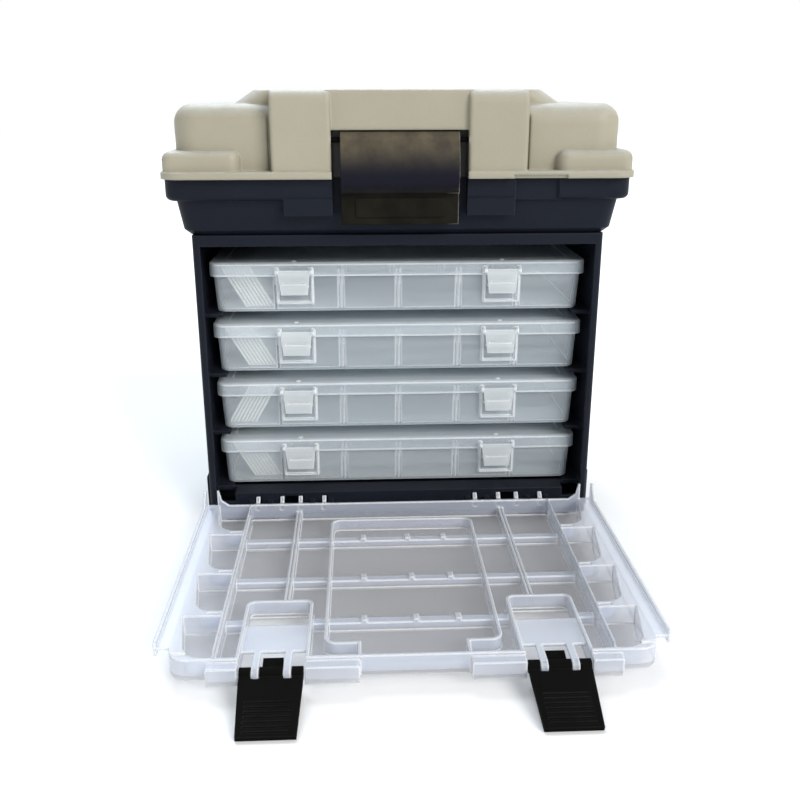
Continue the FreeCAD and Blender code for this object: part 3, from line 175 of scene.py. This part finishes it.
def moulded_grain_group():
    # The height of a spark-eroded mould's grain: a fine even stipple with
    # shallower pits over it.
    group, given, result = open_group(
        "moulded_grain", {"Grain Scale": 2000.0, "Grain Depth": 0.5, "Pit Scale": 400.0, "Pit Depth": 0.3},
        {"Height": "Float", "Speckle": "Float"})
    where = add_node(group, "TexCoord").outputs["Object"]
    grain = add_node(group, "TexNoise", {"Vector": where, "Scale": given["Grain Scale"], "Detail": 2.0})
    pits = add_node(group, "TexVoronoi", {"Vector": where, "Scale": given["Pit Scale"]})
    fine = add_node(group, "Math", {0: grain.outputs[0], 1: given["Grain Depth"]}, operation="MULTIPLY")
    deep = add_node(group, "Math", {0: pits.outputs["Distance"], 1: given["Pit Depth"]}, operation="MULTIPLY")
    height = add_node(group, "Math", {0: fine.outputs[0], 1: deep.outputs[0]}, operation="ADD")
    group.links.new(height.outputs[0], result["Height"])
    group.links.new(grain.outputs[0], result["Speckle"])
    return group


def slow_drift_group():
    # A slow change over the surface, as pigment and handling leave it, from 0 to 1.
    group, given, result = open_group("slow_drift", {"Scale": 12.0, "Contrast": 1.0}, {"Mask": "Float"})
    where = add_node(group, "TexCoord").outputs["Object"]
    cloud = add_node(group, "TexNoise", {"Vector": where, "Scale": given["Scale"], "Detail": 5.0,
                                         "Roughness": 0.6})
    centred = add_node(group, "Math", {0: cloud.outputs[0], 1: 0.5}, operation="SUBTRACT")
    spread = add_node(group, "Math", {0: centred.outputs[0], 1: given["Contrast"]}, operation="MULTIPLY")
    mask = add_node(group, "Math", {0: spread.outputs[0], 1: 0.5}, operation="ADD", use_clamp=True)
    group.links.new(mask.outputs[0], result["Mask"])
    return group


def dust_and_sky_sheen_group():
    # Fine pale dust on the faces that look upwards, which where strong is a painted highlight of the sky above,
    # from 0 to 1.
    group, given, result = open_group("dust_and_sky_sheen", {"Amount": 0.3, "Scale": 90.0}, {"Mask": "Float"})
    facing = add_node(group, "SeparateXYZ", {0: add_node(group, "NewGeometry").outputs["Normal"]})
    up = add_node(group, "MapRange", {"Value": facing.outputs["Z"], "From Min": 0.3, "From Max": 1.0})
    where = add_node(group, "TexCoord").outputs["Object"]
    cloud = add_node(group, "TexNoise", {"Vector": where, "Scale": given["Scale"], "Detail": 6.0,
                                         "Roughness": 0.7})
    patches = add_node(group, "MapRange", {"Value": cloud.outputs[0], "From Min": 0.0, "From Max": 0.9})
    upward_dust_and_sheen = add_node(group, "Math", {0: up.outputs[0], 1: patches.outputs[0]}, operation="MULTIPLY")
    mask = add_node(group, "Math", {0: upward_dust_and_sheen.outputs[0], 1: given["Amount"]}, operation="MULTIPLY",
                    use_clamp=True)
    group.links.new(mask.outputs[0], result["Mask"])
    return group


rubbed_edge = rubbed_edge_group()
moulded_grain = moulded_grain_group()
slow_drift = slow_drift_group()
dust_and_sky_sheen = dust_and_sky_sheen_group()


def blend(tree, factor, first, second):
    # A colour between two others.
    made = add_node(tree, "Mix", data_type="RGBA")
    for slot, value in (("Factor", factor), (6, first), (7, second)):
        if isinstance(value, bpy.types.NodeSocket):
            tree.links.new(value, made.inputs[slot])
        else:
            made.inputs[slot].default_value = value
    return made.outputs[2]


def new_finish(name):
    made = bpy.data.materials.new(name)
    made.use_nodes = True
    tree = made.node_tree
    tree.nodes.clear()
    shader = add_node(tree, "BsdfPrincipled")
    add_node(tree, "OutputMaterial", {"Surface": shader.outputs[0]})
    return made, tree, shader


def opaque_plastic(name, main, shade, rubbed, fleck, grain, roughness, shine, rub, bump, dust_and_sheen, dust_and_sheen_colour):
    # A grained moulding: drifting pigment, pale flecks, rubbed edges, and dust on the upward faces that where
    # strong is a painted highlight of the sky.
    made, tree, shader = new_finish(name)
    shader.inputs["Specular IOR Level"].default_value = shine
    drift = use_group(tree, slow_drift, pigment_drift)["Mask"]
    edge = use_group(tree, rubbed_edge, {**rub, **edge_patches})
    texture = use_group(tree, moulded_grain, grain)
    upward_dust_and_sheen = use_group(tree, dust_and_sky_sheen, {"Amount": dust_and_sheen, "Scale": dust_and_sheen_scale})["Mask"]
    colour = blend(tree, drift, main, shade)
    speckled = blend(tree, texture["Speckle"], colour, blend(tree, fleck, colour, pure_white))
    worn = blend(tree, edge["Mask"], speckled, rubbed)
    tree.links.new(blend(tree, upward_dust_and_sheen, worn, dust_and_sheen_colour), shader.inputs["Base Color"])
    gloss = add_node(tree, "MapRange", {"Value": drift, "To Min": roughness[0], "To Max": roughness[1]})
    tree.links.new(gloss.outputs[0], shader.inputs["Roughness"])
    relief = add_node(tree, "Bump", {"Height": texture["Height"], "Strength": bump, "Distance": relief_depth,
                                     "Normal": edge["Rounded Normal"]})
    tree.links.new(relief.outputs[0], shader.inputs["Normal"])
    return made


def dress(node_names, finish):
    for name in node_names:
        slots = nodes[name].data.materials
        slots.clear()
        slots.append(finish)


body_navy = opaque_plastic(
    "body_navy", main=(0.0085, 0.0115, 0.020, 1), shade=(0.0055, 0.007, 0.012, 1),
    rubbed=(0.055, 0.065, 0.08, 1), fleck=0.004,
    grain={"Grain Scale": 2200.0, "Grain Depth": 0.45, "Pit Scale": 380.0, "Pit Depth": 0.35},
    roughness=(0.42, 0.55), shine=0.09, rub={"Radius": 0.0012, "Gain": 1.6}, bump=0.3,
    dust_and_sheen=0.05, dust_and_sheen_colour=(0.12, 0.13, 0.145, 1))
dress(["cabinet_body", "top_bin"], body_navy)


# The lid: one moulding in stone-coloured plastic, hinged on two steel rods.
# Its upper faces are painted pale and bluish as a painted highlight of the sky, and the
# recess behind its lever is painted black as painted shade.
recess_half = 0.0387
recess_front = -0.0845
recess_back = -0.062
recess_top = 0.2452
recess_soft_depth = 0.004
recess_soft_side = 0.0004
recess_soft_top = 0.0006
# The near-black colour of the painted shade in the recess behind the lever.
recess_painted_shade = (0.012, 0.011, 0.010, 1)
facing_back = 0.5
facing_side = 0.3

# The pale bluish layer on the lid's upward faces is strong here: mostly a painted highlight of the sky, with
# some dust.
lid_stone = opaque_plastic(
    "lid_stone", main=(0.352, 0.322, 0.236, 1), shade=(0.29, 0.264, 0.188, 1),
    rubbed=(0.52, 0.50, 0.42, 1), fleck=0.06,
    grain={"Grain Scale": 2600.0, "Grain Depth": 0.5, "Pit Scale": 420.0, "Pit Depth": 0.25},
    roughness=(0.44, 0.6), shine=0.5, rub={"Radius": 0.0022, "Gain": 2.2}, bump=0.35,
    dust_and_sheen=0.6, dust_and_sheen_colour=(0.66, 0.71, 0.72, 1))
tree = lid_stone.node_tree
shader = next(node for node in tree.nodes if node.type == "BSDF_PRINCIPLED")
where = add_node(tree, "TexCoord").outputs
place = add_node(tree, "SeparateXYZ", {0: where["Object"]}).outputs
facing = add_node(tree, "SeparateXYZ", {0: where["Normal"]}).outputs
side = add_node(tree, "Math", {0: place["X"]}, operation="ABSOLUTE").outputs[0]
limits = [add_node(tree, "MapRange", {"Value": value, "From Min": clear, "From Max": full}).outputs[0]
          for value, clear, full in ((side, recess_half, recess_half - recess_soft_side),
                                     (place["Y"], recess_front, recess_front + recess_soft_depth),
                                     (place["Y"], recess_back + recess_soft_depth, recess_back),
                                     (place["Z"], recess_top, recess_top - recess_soft_top),
                                     (facing["Y"], facing_back, facing_side))]
# Painted shade: the recess behind the lever is darkened to near black, as if in shadow.
painted_shade_mask = limits[0]
for limit in limits[1:]:
    painted_shade_mask = add_node(tree, "Math", {0: painted_shade_mask, 1: limit}, operation="MULTIPLY").outputs[0]
unshaded = shader.inputs["Base Color"].links[0].from_socket
tree.links.new(blend(tree, painted_shade_mask, unshaded, recess_painted_shade), shader.inputs["Base Color"])
dress(["lid"], lid_stone)


# The lid's lever: one moulding in black-brown plastic that turns on a pin, its
# barrel glossier and painted brown as a painted sheen, its grip plate black and dull,
# and its right edge painted pale as a painted highlight.
lever_low, lever_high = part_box("lid_latch")
lever_height = lever_high.z - lever_low.z
lever_black = (0.0065, 0.006, 0.004, 1)
lever_brown = (0.115, 0.097, 0.066, 1)
lever_navy = (0.009, 0.0095, 0.016, 1)
lever_edge_highlight = (0.30, 0.28, 0.25, 1)
barrel_shares = (0.52, 0.95)
plate_shares = (0.30, 0.48)
plate_brown_share = 0.06
least_sheen_patch = 0.55
edge_highlight_reach = (0.008, 0.001)
plate_roughness = 0.55
barrel_roughness = 0.33
lever_shine = 0.05
lever_bump = 0.22

lever_dark, tree, shader = new_finish("lever_dark")
place = add_node(tree, "SeparateXYZ", {0: add_node(tree, "TexCoord").outputs["Object"]}).outputs
upper, middle = [add_node(tree, "MapRange", {"Value": place["Z"], "From Min": lever_low.z + low * lever_height,
                                             "From Max": lever_low.z + high * lever_height},
                          interpolation_type="SMOOTHSTEP").outputs[0]
                 for low, high in (barrel_shares, plate_shares)]
# Painted highlight: a pale strip is painted along the lever's right edge.
right = add_node(tree, "MapRange", {"Value": place["X"], "From Min": lever_high.x - edge_highlight_reach[0],
                                    "From Max": lever_high.x - edge_highlight_reach[1]})
smear_and_sheen_patches = use_group(tree, slow_drift, {"Scale": 75.0, "Contrast": 3.2})["Mask"]
edge = use_group(tree, rubbed_edge, {"Radius": 0.0012, "Gain": 2.6, "Patchiness": 0.8, "Patch Scale": 160.0})
texture = use_group(tree, moulded_grain, {"Grain Scale": 1600.0, "Grain Depth": 0.5, "Pit Scale": 300.0,
                                          "Pit Depth": 0.5})
plate_colour = blend(tree, smear_and_sheen_patches, lever_black, blend(tree, plate_brown_share, lever_black, lever_brown))
body_colour = blend(tree, middle, plate_colour, lever_navy)
# Painted sheen: the upper barrel is painted brown in patches, standing for a warm reflection.
sheen_patch_share = add_node(tree, "MapRange", {"Value": smear_and_sheen_patches, "To Min": least_sheen_patch})
barrel_painted_sheen = add_node(tree, "Math", {0: upper, 1: sheen_patch_share.outputs[0]}, operation="MULTIPLY")
barrel_sheen_colour = blend(tree, barrel_painted_sheen.outputs[0], body_colour, lever_brown)
right_edge_highlight = add_node(tree, "Math", {0: edge["Mask"], 1: right.outputs[0]}, operation="MULTIPLY", use_clamp=True)
tree.links.new(blend(tree, right_edge_highlight.outputs[0], barrel_sheen_colour, lever_edge_highlight), shader.inputs["Base Color"])
dullness = add_node(tree, "MapRange", {"Value": middle, "To Min": plate_roughness, "To Max": barrel_roughness})
tree.links.new(dullness.outputs[0], shader.inputs["Roughness"])
relief = add_node(tree, "Bump", {"Height": texture["Height"], "Strength": lever_bump, "Distance": relief_depth,
                                 "Normal": edge["Rounded Normal"]})
tree.links.new(relief.outputs[0], shader.inputs["Normal"])
shader.inputs["Specular IOR Level"].default_value = lever_shine
dress(["lid_latch"], lever_dark)


# The carry handle: a black bail handle moulded in one piece, lying in the lid's
# pan on two steel pins, smooth and slightly shiny on its grip.
handle_black = opaque_plastic(
    "handle_black", main=(0.014, 0.014, 0.015, 1), shade=(0.010, 0.010, 0.011, 1),
    rubbed=(0.09, 0.09, 0.09, 1), fleck=0.004,
    grain={"Grain Scale": 1800.0, "Grain Depth": 0.4, "Pit Scale": 300.0, "Pit Depth": 0.3},
    roughness=(0.35, 0.5), shine=0.25, rub={"Radius": 0.0015, "Gain": 1.2}, bump=0.25,
    dust_and_sheen=0.08, dust_and_sheen_colour=(0.1, 0.1, 0.1, 1))
dress(["carry_handle"], handle_black)


# The door's two catches: flat black plates moulded with grip lines, each on a
# pin through the door's lugs. The steel pin of the lid's lever is dressed as black
# as they are, as painted shade in the dark gap where it sits.
latch_black = opaque_plastic(
    "latch_black", main=(0.0045, 0.0045, 0.004, 1), shade=(0.003, 0.003, 0.003, 1),
    rubbed=(0.045, 0.045, 0.043, 1), fleck=0.002,
    grain={"Grain Scale": 1800.0, "Grain Depth": 0.5, "Pit Scale": 320.0, "Pit Depth": 0.4},
    roughness=(0.5, 0.65), shine=0.012, rub={"Radius": 0.0009, "Gain": 1.4}, bump=0.3,
    dust_and_sheen=0.03, dust_and_sheen_colour=(0.012, 0.012, 0.012, 1))
# The lid's steel lever pin gets this black as painted shade in its gap.
dress(["door_latch_left", "door_latch_right", "lid_latch_pin"], latch_black)


# The door: one moulding in milky clear plastic, hung on two steel rods. Its
# bottom sheet is thin and greyer, its ribs and walls are thicker and milkier,
# and every edge is painted white, partly for the thicker plastic there and partly
# as a painted glow of light along the rims.
edge_white = (0.94, 0.96, 0.98, 1)
edge_patchiness = {"Patchiness": 0.15, "Patch Scale": 90.0}
flow_grain = {"Grain Scale": 160.0, "Grain Depth": 0.5, "Pit Scale": 60.0, "Pit Depth": 0.15}
flow_stretch = (4.0, 4.0, 80.0)
flow_scale = 1.6
flow_whitening = 0.08
flow_alpha = 0.05
sheet_blend = 0.0006
clear_roughness = 0.22
clear_ior = 1.5
clear_bump = 0.08
clear_relief = 0.0003
slant_blend = 0.25


def clear_plastic(name, thin_colour, thick_colour, thin_alpha, thick_alpha, plate_top, slanting_alpha,
                  edge_alpha, edge):
    # Below plate_top, a height in metres, the wall is the piece's thin bottom
    # sheet, and above it the ribs and side walls are thicker. Soft level bands
    # show how the plastic flowed into the mould.
    made, tree, shader = new_finish(name)
    place = add_node(tree, "TexCoord").outputs["Object"]
    along = add_node(tree, "VectorMath", {0: place, 1: flow_stretch}, operation="MULTIPLY")
    streaks = add_node(tree, "TexNoise", {"Vector": along.outputs[0], "Scale": flow_scale, "Detail": 2.0})
    flow = add_node(tree, "MapRange", {"Value": streaks.outputs[0], "From Min": 0.3, "From Max": 0.7}).outputs[0]
    rim = use_group(tree, rubbed_edge, {**edge, **edge_patchiness})
    texture = use_group(tree, moulded_grain, flow_grain)
    height = add_node(tree, "SeparateXYZ", {0: place}).outputs["Z"]
    thick = add_node(tree, "MapRange", {"Value": height, "From Min": plate_top,
                                        "From Max": plate_top + sheet_blend}).outputs[0]
    milky = blend(tree, thick, thin_colour, thick_colour)
    cloudy = blend(tree, flow, milky, blend(tree, flow_whitening, milky, edge_white))
    # The rims are painted white: partly the thicker plastic, partly a painted glow of light along the edges.
    tree.links.new(blend(tree, rim["Mask"], cloudy, edge_white), shader.inputs["Base Color"])
    wall = add_node(tree, "MapRange", {"Value": thick, "To Min": thin_alpha, "To Max": thick_alpha})
    cloud = add_node(tree, "MapRange", {"Value": flow, "To Min": -flow_alpha, "To Max": flow_alpha})
    plain = add_node(tree, "Math", {0: wall.outputs[0], 1: cloud.outputs[0]}, operation="ADD")
    facing = add_node(tree, "LayerWeight", {"Blend": slant_blend}).outputs["Facing"]
    slanting = add_node(tree, "MapRange", {"Value": facing, "To Min": plain.outputs[0],
                                           "To Max": slanting_alpha})
    solid = add_node(tree, "MapRange", {"Value": rim["Mask"], "To Min": slanting.outputs[0],
                                        "To Max": edge_alpha})
    tree.links.new(solid.outputs[0], shader.inputs["Alpha"])
    shader.inputs["Roughness"].default_value = clear_roughness
    shader.inputs["IOR"].default_value = clear_ior
    relief = add_node(tree, "Bump", {"Height": texture["Height"], "Strength": clear_bump,
                                     "Distance": clear_relief, "Normal": rim["Rounded Normal"]})
    tree.links.new(relief.outputs[0], shader.inputs["Normal"])
    return made


door_low, door_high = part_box("door")
door_sheet = 0.0022
door_clear = clear_plastic(
    "door_clear", thin_colour=(0.36, 0.36, 0.39, 1), thick_colour=(0.70, 0.76, 0.89, 1), thin_alpha=0.24,
    thick_alpha=0.32, plate_top=door_low.z + door_sheet, slanting_alpha=0.6, edge_alpha=0.96,
    edge={"Radius": 0.0016, "Gain": 10.0})
dress(["door"], door_clear)


# The four boxes: a base with cross walls and a lid each, moulded in thin milky
# clear plastic. They slide on the body's ledges, and their rims are painted white,
# partly for the thicker plastic there and partly as a painted glow of light.
tray_numbers = range(1, 5)
tray_milk = (0.80, 0.885, 0.94, 1)
tray_clear = clear_plastic(
    "tray_clear", thin_colour=tray_milk, thick_colour=tray_milk, thin_alpha=0.20, thick_alpha=0.20,
    plate_top=0.0, slanting_alpha=0.95, edge_alpha=0.97, edge={"Radius": 0.0016, "Gain": 14.0})
dress(["tray_%d_%s" % (k, part) for k in tray_numbers for part in ("base", "lid")], tray_clear)


# The boxes' catches and the pins of the door's catches: small mouldings in the
# same plastic, thicker and so whiter, snapped into their ears.
clip_milk = (0.80, 0.845, 0.865, 1)
clip_clear = clear_plastic(
    "clip_clear", thin_colour=clip_milk, thick_colour=clip_milk, thin_alpha=0.38, thick_alpha=0.38,
    plate_top=0.0, slanting_alpha=0.7, edge_alpha=0.9, edge={"Radius": 0.0008, "Gain": 6.0})
dress(["tray_%d_latch_%s" % (k, side) for k in tray_numbers for side in ("left", "right")], clip_clear)
dress(["door_latch_pins"], clip_clear)


# The spare dividers: thin plates of opaque white plastic, matt and slightly
# creamy, laid as a leaning stack in each box's left bay.
divider_white = opaque_plastic(
    "divider_white", main=(0.90, 0.89, 0.85, 1), shade=(0.84, 0.83, 0.79, 1), rubbed=(0.95, 0.95, 0.93, 1),
    fleck=0.05, grain={"Grain Scale": 900.0, "Grain Depth": 0.3, "Pit Scale": 200.0, "Pit Depth": 0.2},
    roughness=(0.45, 0.6), shine=0.4, rub={"Radius": 0.0006, "Gain": 1.0}, bump=0.15,
    dust_and_sheen=0.0, dust_and_sheen_colour=(0.8, 0.8, 0.8, 1))
dress(["tray_%d_dividers" % k for k in tray_numbers], divider_white)


# The pins, rods and screws: plain drawn steel with fine turning marks across
# it and a little staining, pressed or screwed into the mouldings.
steel_bright = (0.55, 0.55, 0.56, 1)
steel_stained = (0.38, 0.37, 0.36, 1)
turning_marks = {"Scale": 900.0, "Distortion": 3.0, "Detail": 2.0}
steel_roughness = (0.24, 0.4)

steel_pin, tree, shader = new_finish("steel_pin")
where = add_node(tree, "TexCoord").outputs["Object"]
turning = add_node(tree, "TexWave", {"Vector": where, **turning_marks}, bands_direction="X")
stain = use_group(tree, slow_drift, {"Scale": 200.0, "Contrast": 1.8})["Mask"]
tree.links.new(blend(tree, stain, steel_bright, steel_stained), shader.inputs["Base Color"])
shader.inputs["Metallic"].default_value = 1.0
polish = add_node(tree, "MapRange", {"Value": turning.outputs[0], "To Min": steel_roughness[0],
                                     "To Max": steel_roughness[1]})
tree.links.new(polish.outputs[0], shader.inputs["Roughness"])
dress(["bin_screws", "lid_hinge_rods", "handle_pins", "door_hinge_rods"]
      + ["tray_%d_hinge_pins" % k for k in tray_numbers], steel_pin)
